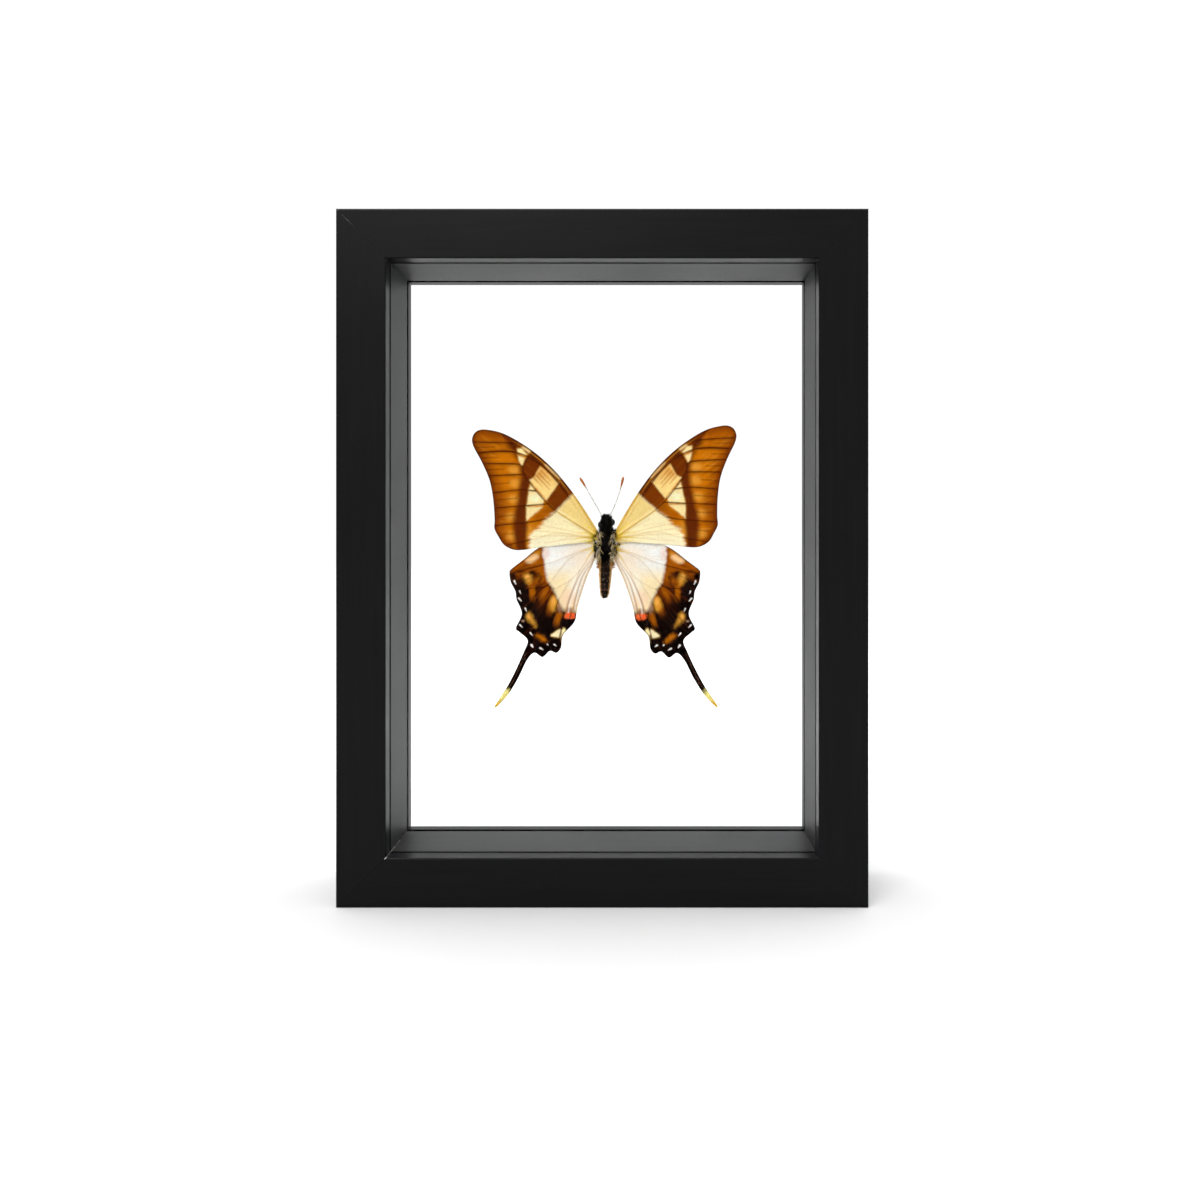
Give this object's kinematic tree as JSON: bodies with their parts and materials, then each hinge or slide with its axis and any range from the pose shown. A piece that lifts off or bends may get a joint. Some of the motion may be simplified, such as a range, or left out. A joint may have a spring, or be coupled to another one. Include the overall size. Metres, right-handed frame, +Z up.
{
  "type": "framed butterfly specimen",
  "caption": "Spread kite-swallowtail butterfly with amber, cream and black tailed wings, glued inside a deep black wooden frame glazed front and back, standing on its bottom rail.",
  "frame": {"origin": "centre of the frame's footprint, on the surface that it stands on", "axes": "+Z up along the frame's height, +Y towards its back, so the front faces -Y, +X to the right seen from the front"},
  "size_m": [0.16, 0.035, 0.21],
  "materials": {
    "lacquer": "satin black lacquer",
    "glass": "clear polished float glass",
    "forewing": "matte amber, brown and cream wing scales",
    "hindwing": "matte cream, amber and black wing scales",
    "body": "dry black skin with fine hair",
    "antenna": "smooth dry horn, orange clubs",
    "glue": "clear set glue"
  },
  "bodies": {
    "root": {"frame_bottom": "lacquer", "spacer_bottom": "lacquer", "rear_bead_bottom": "lacquer", "frame_top": "lacquer", "spacer_top": "lacquer", "rear_bead_top": "lacquer", "frame_left": "lacquer", "spacer_left": "lacquer", "rear_bead_left": "lacquer", "frame_right": "lacquer", "spacer_right": "lacquer", "rear_bead_right": "lacquer", "front_glass": "glass", "back_glass": "glass", "head": "body", "thorax": "body", "abdomen": "body", "left_antenna": "antenna", "right_antenna": "antenna", "left_forewing": "forewing", "right_forewing": "forewing", "left_hindwing": "hindwing", "right_hindwing": "hindwing", "glue_dot": "glue"}
  },
  "joints": []
}
